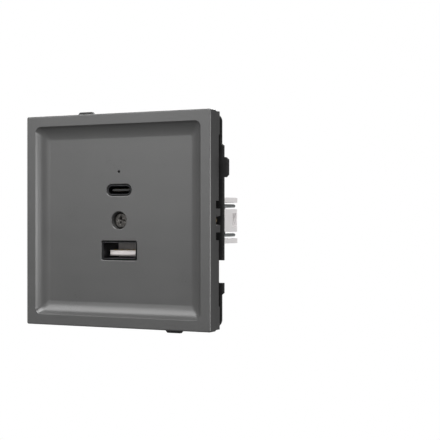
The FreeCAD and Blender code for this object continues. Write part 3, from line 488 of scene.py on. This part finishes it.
def dishProfile():
    # (inset, depth) from the rim's eased edge down to the floor
    c = cover
    points = []
    for k in range(c["rimSteps"]):
        turn = math.radians(c["lipTilt"] * k / c["rimSteps"])
        points.append((c["rimR"] * math.sin(turn), c["rimR"] * (1 - math.cos(turn))))
    tilt, start, end = [math.radians(c[key]) for key in ("lipTilt", "arcFrom", "arcTo")]
    inset, depth = c["rimR"] * math.sin(tilt), c["rimR"] * (1 - math.cos(tilt))
    wide = (c["slope"] - inset) / (math.cos(start) - math.cos(end))
    deep = (c["depth"] - depth) / (math.sin(end) - math.sin(start))
    for k in range(c["arcSteps"] + 1):
        turn = start + (end - start) * k / c["arcSteps"]
        points.append((inset + wide * (math.cos(start) - math.cos(turn)),
                       depth + deep * (math.sin(turn) - math.sin(start))))
    return points


def dishRing(form, inset, depth):
    # a square ring of the dish with round corners, which tighten towards the floor
    c = cover
    r = c["cornerR"] + (c["footR"] - c["cornerR"]) * inset / c["slope"]
    reach = c["rim"] - inset - r
    ring = []
    for quarter in range(4):
        for k in range(c["cornerSteps"] + 1):
            turn = math.radians(90 * (quarter + k / c["cornerSteps"]))
            x = reach * (1 if quarter in (0, 3) else -1) + r * math.cos(turn)
            z = reach * (1 if quarter in (0, 1) else -1) + r * math.sin(turn)
            ring.append(form.verts.new((x * mm, (c["front"] + depth) * mm, z * mm)))
    return ring


def filledLevel(form, level, slack):
    # flat faces between the open edges that lie at one depth
    rims = [edge for edge in form.edges
            if len(edge.link_faces) < 2 and all(abs(corner.co.y - level) < slack for corner in edge.verts)]
    flat = bmesh.ops.triangle_fill(form, edges=rims, use_beauty=True, normal=(0, -1, 0))["geom"]
    seams = [part for part in flat if isinstance(part, bmesh.types.BMEdge)]
    bmesh.ops.dissolve_limit(form, angle_limit=flatAngle, edges=seams,
                             verts=list(dict.fromkeys(corner for edge in seams for corner in edge.verts)))


def dishedMesh():
    # the cover's copy, with its front and dish taken off and made again
    c = cover
    mesh = mergedMesh(c["name"], c["node"])
    form = bmesh.new()
    form.from_mesh(mesh)
    slack = 0.001 * mm
    front, bottom = c["front"] * mm, (c["front"] + c["depth"]) * mm
    reach = (c["rim"] + c["margin"]) * mm
    old = [face for face in form.faces
           if all(corner.co.y < front + slack for corner in face.verts)
           or all(corner.co.y < bottom + slack and max(abs(corner.co.x), abs(corner.co.z)) < reach
                  for corner in face.verts)]
    bmesh.ops.delete(form, geom=old, context="FACES")
    rings = [dishRing(form, inset, depth) for inset, depth in dishProfile()]
    for upper, lower in zip(rings, rings[1:]):
        for k in range(len(upper)):
            form.faces.new((upper[k - 1], upper[k], lower[k], lower[k - 1]))
    for level in (front, bottom):
        filledLevel(form, level, slack)
    bmesh.ops.recalc_face_normals(form, faces=form.faces)
    print("open edges in the cover:", sum(len(edge.link_faces) != 2 for edge in form.edges))
    form.to_mesh(mesh)
    form.free()
    return mesh


def coverShare(edge):
    # all of the easing round the ports in the dish's floor, least of it behind the tier's ledge
    c = cover
    near, far = sorted(corner.co.y / mm for corner in edge.verts)
    bottom = c["front"] + c["depth"]
    if bottom - 0.001 < near and far < bottom + 0.001 and edge.verts[0].co.z < c["portsBelow"] * mm:
        return 1.0
    return c["fineShare"] if near > c["tier"] else c["plainShare"]


eased(cover, dishedMesh(), coverShare)


# The other pieces that keep the solid's shape, with their edges eased

coverScrew = {"name": "coverScrewHead", "node": "cover_screw", "slot": "screw_steel",
              "finish": "screw", "edge": 0.06}
plate = {"name": "mountingSheet", "node": "mounting_plate", "slot": "plate_paint",
         "finish": "plate", "edge": 0.08}
bowl = {"name": "portBowl", "node": "inner_bowl", "slot": "bowl_plastic",
        "finish": "bowl", "edge": 0.05}
case = {"name": "caseShell", "node": "housing", "slot": "housing_plastic",
        "finish": "case", "edge": 0.05}
lid = {"name": "caseLid", "node": "rear_lid", "slot": "lid_plastic",
       "finish": "lid", "edge": 0.04}
# the port shells wear steel with painted shade
usbA = {"name": "usbAShell", "node": "usb_a_shell", "slot": "shell_steel",
        "finish": "shell", "edge": 0.08}
usbC = {"name": "usbCShell", "node": "usb_c_shell", "slot": "shell_steel",
        "finish": "shell", "edge": 0.08}
tongueA = {"name": "usbATongue", "node": "usb_a_tongue", "slot": "tongue_white",
           "finish": "whiteTongue", "edge": 0.1}
tongueC = {"name": "usbCTongue", "node": "usb_c_tongue", "slot": "tongue_black",
           "finish": "blackTongue", "edge": 0.06}
bayRight = {"name": "bayPlateRight", "node": "bay_plate_right", "slot": "zinc_plate",
            "finish": "zinc", "edge": 0.1}
bayLeft = {**bayRight, "name": "bayPlateLeft", "node": "bay_plate_left"}
for piece in (coverScrew, plate, bowl, case, lid, usbA, usbC, tongueA, tongueC, bayRight, bayLeft):
    eased(piece, mergedMesh(piece["name"], piece["node"]))


# Claws: pressed sheet with two leaf-shaped teeth, a half barrel and a flange

clawSheet = {"slot": "claw_yellow", "finish": "claw", "axis": 21.5, "r": 2.9, "wall": 0.65, "front": 9.6,
             "tooth": 2.0, "toothFrom": 5.0, "toothTo": 66.0, "crest": 0.7, "lead": 0.2, "flare": 0.7,
             "flareRise": 1.3, "rear": 14.85, "turnUp": 0.55, "flangeFront": 14.8, "flangeRear": 15.6,
             "around": 60, "along": 16, "edge": 0.09, "edgeFrom": 50, "edgeSteps": 2, "smooth": 48,
             "flange": [(-1.2, 1.65), (2.82, 1.65), (2.82, -1.65), (-1.2, -1.65), (-1.2, -2.9), (0.5, -2.9),
                        (0.5, -3.7), (2.75, -3.7), (3.25, -3.55), (3.55, -3.25), (3.7, -2.75), (3.7, 2.75),
                        (3.55, 3.25), (3.25, 3.55), (2.75, 3.7), (0.5, 3.7), (0.5, 2.9), (-1.2, 2.9)]}


def barrelPoint(degrees, share, inside):
    # a point of the barrel, from its toothed front edge (share 0) to the flange (share 1)
    c = clawSheet
    away = abs(degrees)
    front = c["front"]
    if c["toothFrom"] < away < c["toothTo"]:
        run = (away - c["toothFrom"]) / (c["toothTo"] - c["toothFrom"])
        front -= c["tooth"] * math.sin(math.pi * run) ** c["crest"]
    y = front + (c["rear"] - front) * share
    ahead = max(0.0, c["front"] + c["lead"] - y) / (c["tooth"] + c["lead"])
    behind = max(0.0, y - c["rear"] + c["turnUp"]) / c["turnUp"]
    wall = c["wall"] if inside else 0.0
    r = c["r"] + c["flare"] * ahead ** c["flareRise"] + c["turnUp"] * behind ** 2 - wall
    turn = math.radians(degrees)
    return c["axis"] + r * math.cos(turn), y, r * math.sin(turn)


def clawBarrel():
    # an outer and an inner skin, and the rim that joins them
    c = clawSheet
    wide, deep = c["around"] + 1, c["along"] + 1
    under = wide * deep
    points = [barrelPoint(-90 + 180 * k / c["around"], j / c["along"], inside)
              for inside in (False, True) for k in range(wide) for j in range(deep)]
    faces = []
    for k in range(wide - 1):
        for j in range(deep - 1):
            a = k * deep + j
            faces.append((a, a + 1, a + deep + 1, a + deep))
            faces.append((a + under, a + deep + under, a + deep + 1 + under, a + 1 + under))
    rim = list(range(deep)) + [k * deep + deep - 1 for k in range(1, wide)]
    rim += [(wide - 1) * deep + j for j in range(deep - 2, -1, -1)]
    rim += [k * deep for k in range(wide - 2, 0, -1)]
    faces += [(a, b, b + under, a + under) for a, b in zip(rim, rim[1:] + rim[:1])]
    return points, faces


def clawFlange():
    # the flat flange between its front and its rear face
    c = clawSheet
    count = len(c["flange"])
    points = [(c["axis"] + x, y, z) for y in (c["flangeFront"], c["flangeRear"]) for x, z in c["flange"]]
    faces = [tuple(range(count)), tuple(count + i for i in reversed(range(count)))]
    for i in range(count):
        j = (i + 1) % count
        faces.append((i, count + i, count + j, j))
    return points, faces


def clawBody(side):
    c = clawSheet
    sign = 1 if side == "right" else -1
    name = "clawSheet" + side.title()
    points, faces = clawBarrel()
    flangePoints, flangeFaces = clawFlange()
    faces += [[len(points) + i for i in face] for face in flangeFaces]
    obj = newObject(name, meshOf(name, [(sign * x, y, z) for x, y, z in points + flangePoints], faces))
    finished(obj, "BEVEL", width=c["edge"] * mm, segments=c["edgeSteps"], limit_method="ANGLE",
             angle_limit=math.radians(c["edgeFrom"]), use_clamp_overlap=True)
    return fitted(wear(shaded(obj, c["smooth"]), c["finish"]), "claw_" + side, "claw_" + side)


# Claw screws: slotted head, threaded shank and domed stop

clawScrew = {"slot": "claw_yellow", "finish": "claw", "axis": 21.5, "around": 48, "smooth": 40,
             "head": [(0, -3.3), (2.45, -3.3), (2.72, -3.22), (2.86, -3.08), (2.9, -2.9), (2.9, -1.35),
                      (2.86, -1.25), (2.76, -1.2)],
             "core": 1.29,
             "stop": [(2.72, 15.9), (2.88, 15.97), (2.96, 16.12), (2.96, 16.35), (2.9, 16.7), (2.72, 17.0),
                      (2.42, 17.25), (1.95, 17.43), (1.3, 17.55), (0.6, 17.6), (0, 17.6)],
             "slotWide": 0.9, "slotDeep": 1.1, "slotReach": 4.0,
             "ridge": 0.21, "pitch": 0.5, "threadFrom": -0.9, "threadTo": 15.6, "threadSteps": 20}


def slotCutter(x):
    # a box that cuts the screwdriver slot along z
    s = clawScrew
    front, half, reach = s["head"][0][1], s["slotWide"] / 2, s["slotReach"]
    points = [(x + a * half, y, b * reach) for y in (front - 1, front + s["slotDeep"])
              for a, b in ((-1, -1), (1, -1), (1, 1), (-1, 1))]
    faces = [(0, 1, 2, 3), (7, 6, 5, 4), (0, 4, 5, 1), (1, 5, 6, 2), (2, 6, 7, 3), (3, 7, 4, 0)]
    return newObject("slotCutter", meshOf("slotCutter", points, faces))


def addThread(obj, x):
    # a diamond-shaped ridge that winds round the core
    s = clawScrew
    length = s["threadTo"] - s["threadFrom"]
    growth = Growth(obj.name + "Thread", {"Turns": length / s["pitch"], "Core": s["core"] * mm,
                                          "Ridge": s["ridge"] * mm, "Length": length * mm})
    spiral = growth.node("GeometryNodeCurveSpiral", None,
                         inputs={"Resolution": s["threadSteps"], "Rotations": growth.given("Turns"),
                                 "Start Radius": growth.given("Core"), "End Radius": growth.given("Core"),
                                 "Height": growth.given("Length")})
    upright = growth.node("GeometryNodeSetCurveNormal", {"mode": "Z_UP"}, inputs={"Curve": spiral})
    diamond = growth.node("GeometryNodeCurvePrimitiveCircle", None,
                          inputs={"Resolution": 4, "Radius": growth.given("Ridge")})
    laid = growth.node("GeometryNodeTransform", None,
                       inputs={"Geometry": growth.swept(upright, diamond),
                               "Rotation": (math.radians(-90), 0, 0),
                               "Translation": (x * mm, s["threadFrom"] * mm, 0)})
    growth.grown(obj, growth.joined(laid, growth.given("Geometry")), s["finish"])


def threadedScrew(side):
    s = clawScrew
    x = s["axis"] if side == "right" else -s["axis"]
    name = "clawScrew" + side.title()
    shank = [(s["core"], y) for y in (s["head"][-1][1], s["stop"][0][1])]
    obj = newObject(name, latheMesh(name, s["head"] + shank + s["stop"], x, s["around"]))
    cutter = slotCutter(x)
    finished(obj, "BOOLEAN", operation="DIFFERENCE", object=cutter, solver="EXACT")
    bpy.data.objects.remove(cutter)
    addThread(obj, x)
    return fitted(shaded(obj, s["smooth"]), "claw_screw_" + side, "claw_screw_" + side)


# Return springs: one bent wire round the block, hooked in front of the claw's flange

clawSpring = {"slot": "spring_steel", "finish": "wire", "r": 0.6, "bend": 1.0, "bendSteps": 8, "step": 0.3,
              "sides": 14, "smooth": 60, "fixedTo": 31.0, "freeFrom": 15.0,
              "run": [(23.0, 14.1, 3.15), (23.0, 14.1, 5.1), (23.0, 33.0, 5.1), (18.6, 33.0, 5.1)]}


def wireSpring(side):
    s = clawSpring
    sign = 1 if side == "right" else -1
    name = "clawSpring" + side.title()
    run = [(sign * x * mm, y * mm, z * mm) for x, y, z in s["run"]]
    run += [(x, y, -z) for x, y, z in reversed(run)]
    mesh = bpy.data.meshes.new(name)
    mesh.from_pydata(run, [(i, i + 1) for i in range(len(run) - 1)], [])
    obj = newObject(name, mesh)
    growth = Growth(name + "Wire", {"Wire": s["r"] * mm, "Bend": s["bend"] * mm, "Bend Steps": s["bendSteps"],
                                    "Step": s["step"] * mm, "Sides": s["sides"]})
    line = growth.node("GeometryNodeMeshToCurve", None, growth.given("Geometry"))
    bent = growth.node("GeometryNodeFilletCurve", {"mode": "POLY"},
                       inputs={"Curve": line, "Count": growth.given("Bend Steps"),
                               "Radius": growth.given("Bend"), "Limit Radius": True})
    even = growth.node("GeometryNodeResampleCurve", {"mode": "LENGTH"},
                       inputs={"Curve": bent, "Length": growth.given("Step")})
    ring = growth.node("GeometryNodeCurvePrimitiveCircle", None,
                       inputs={"Resolution": growth.given("Sides"), "Radius": growth.given("Wire")})
    growth.grown(obj, growth.swept(even, ring), s["finish"])
    shaded(obj, s["smooth"])
    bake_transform(obj)
    return fitted(obj, "claw_spring_" + side)


for side in ("right", "left"):
    for made in (clawBody(side), threadedScrew(side), wireSpring(side)):
        print(made.name, len(made.data.polygons), "faces")


# The parts inside, which keep their solid's mesh

# the USB-C contacts and the light pipe wear finishes with painted shade
plainNodes = {
    "usb_a_contacts": "gold", "usb_c_contacts": "goldPaintedShade", "light_pipe": "clearRod", "status_led": "lamp",
    "port_board": "board", "power_board": "board", "board_link": "header", "transformer_core": "ferrite",
    "transformer_coil": "tape", "bridge_rectifier": "rectifier", "fuse": "fuse", "input_capacitor": "can",
    "output_capacitor_a": "can", "output_capacitor_b": "can", "live_busbar": "brass",
    "neutral_busbar": "brass", "live_clamp": "brass", "neutral_clamp": "brass", "live_clamp_screw": "screw",
    "neutral_clamp_screw": "screw",
}
for name, finish in plainNodes.items():
    wear(nodes[name], finish)


# Camera, floor and light

# the camera stands off the middle of the cover's front, and its view is turned a little away from it
camera = {"azimuth": 31.8904, "turn": -5.1898, "distance": 383.95, "height": 0.158, "lens": 94.802,
          "sensor": 36.0, "clipNear": 0.01, "clipFar": 10.0}
studio = {"sky": 0.12, "floorGrey": 0.16, "drop": -60.0, "centre": 0.05, "far": 900.0, "high": 1200.0,
          "bend": 250.0, "steps": 10, "around": 48}
# the side and lip panels gleam on the dish's left slope, the slope panel on the bottom one
lights = {
    "keyLight": {"bearing": 10, "rise": 50, "distance": 0.9, "size": 0.75, "power": 13.3},
    "sidePanel": {"bearing": 70, "rise": 0, "distance": 0.6, "size": 0.29, "tall": 0.18, "power": 1.25},
    "lipPanel": {"bearing": 42, "rise": 0, "distance": 0.6, "size": 0.3, "tall": 0.18, "power": 0.57},
    "sideFill": {"bearing": 100, "rise": 10, "distance": 0.7, "size": 0.4, "power": 0.52},
    "slopePanel": {"bearing": -42, "rise": 35, "distance": 0.6, "size": 0.38, "power": 1.9},
    "facePanel": {"bearing": -24, "rise": 2, "distance": 0.8, "size": 0.46, "power": 1.04},
    "backLight": {"bearing": 205, "rise": 32, "distance": 0.7, "size": 0.5, "power": 3.5},
}


def setCamera():
    c = camera
    bearing = math.radians(c["azimuth"])
    heading = math.radians(c["azimuth"] + c["turn"])
    reach = c["distance"]
    data = bpy.data.cameras.new("photoCamera")
    data.sensor_width = c["sensor"]
    data.lens = c["lens"]
    data.clip_start = c["clipNear"]
    data.clip_end = c["clipFar"]
    obj = newObject("photoCamera", data)
    obj.location = (math.sin(bearing) * reach * mm, (cover["front"] - math.cos(bearing) * reach) * mm,
                    c["height"] * mm)
    obj.rotation_mode = "QUATERNION"
    obj.rotation_quaternion = Vector((-math.sin(heading), math.cos(heading), 0)).to_track_quat("-Z", "Y")
    bpy.context.scene.camera = obj


def areaLight(name, bearing, rise, distance, size, power, tall=None):
    # a soft ellipse that faces the socket
    data = bpy.data.lights.new(name, "AREA")
    data.shape = "ELLIPSE"
    data.size = size
    data.size_y = tall or size
    data.energy = power
    turn, lift = math.radians(bearing), math.radians(rise)
    back = Vector((math.sin(turn) * math.cos(lift), -math.cos(turn) * math.cos(lift), math.sin(lift)))
    obj = newObject(name, data)
    obj.location = back * distance
    obj.rotation_mode = "QUATERNION"
    obj.rotation_quaternion = (-back).to_track_quat("-Z", "Y")


def floorMaterial():
    # white to the camera, a soft grey for everything that it lights
    f = Finish("paleFloor")
    seen = f.node("ShaderNodeLightPath", None, out="Is Camera Ray")
    white = f.node("ShaderNodeEmission", None, inputs={"Color": (1, 1, 1, 1), "Strength": 1.0})
    grey = f.node("ShaderNodeBsdfDiffuse", None, inputs={"Color": [studio["floorGrey"]] * 3 + [1]})
    both = f.node("ShaderNodeMixShader", None, seen, grey, white)
    f.node("ShaderNodeOutputMaterial", None, inputs={"Surface": both})
    return f.material


def setFloor():
    # a floor that sweeps up into a wall all round
    s = studio
    flat = s["far"] - s["bend"]
    profile = [(s["centre"], 0.0), (flat, 0.0)]
    for i in range(1, s["steps"] + 1):
        turn = math.pi / 2 * i / s["steps"]
        profile.append((flat + s["bend"] * math.sin(turn), s["bend"] * (1 - math.cos(turn))))
    profile.append((s["far"], s["high"]))
    form = bmesh.new()
    turns = [2 * math.pi * k / s["around"] for k in range(s["around"])]
    rings = [[form.verts.new((r * mm * math.cos(turn), r * mm * math.sin(turn), (z + s["drop"]) * mm))
              for turn in turns] for r, z in profile]
    for low, high in zip(rings, rings[1:]):
        for k in range(s["around"]):
            form.faces.new((low[k - 1], low[k], high[k], high[k - 1]))
    form.faces.new(rings[0])
    mesh = bpy.data.meshes.new("studioFloor")
    form.to_mesh(mesh)
    form.free()
    mesh.shade_smooth()
    obj = newObject("studioFloor", mesh)
    obj.data.materials.append(floorMaterial())
    obj.visible_shadow = False


def setWorld():
    world = bpy.data.worlds.new("studioWorld")
    world.use_nodes = True
    sky = world.node_tree.nodes["Background"]
    sky.inputs["Color"].default_value = (1, 1, 1, 1)
    sky.inputs["Strength"].default_value = studio["sky"]
    bpy.context.scene.world = world


setCamera()
setFloor()
setWorld()
for name, light in lights.items():
    areaLight(name, **light)
bpy.context.scene.view_settings.view_transform = "Standard"
bpy.context.scene.view_settings.look = "None"
print("studio set")
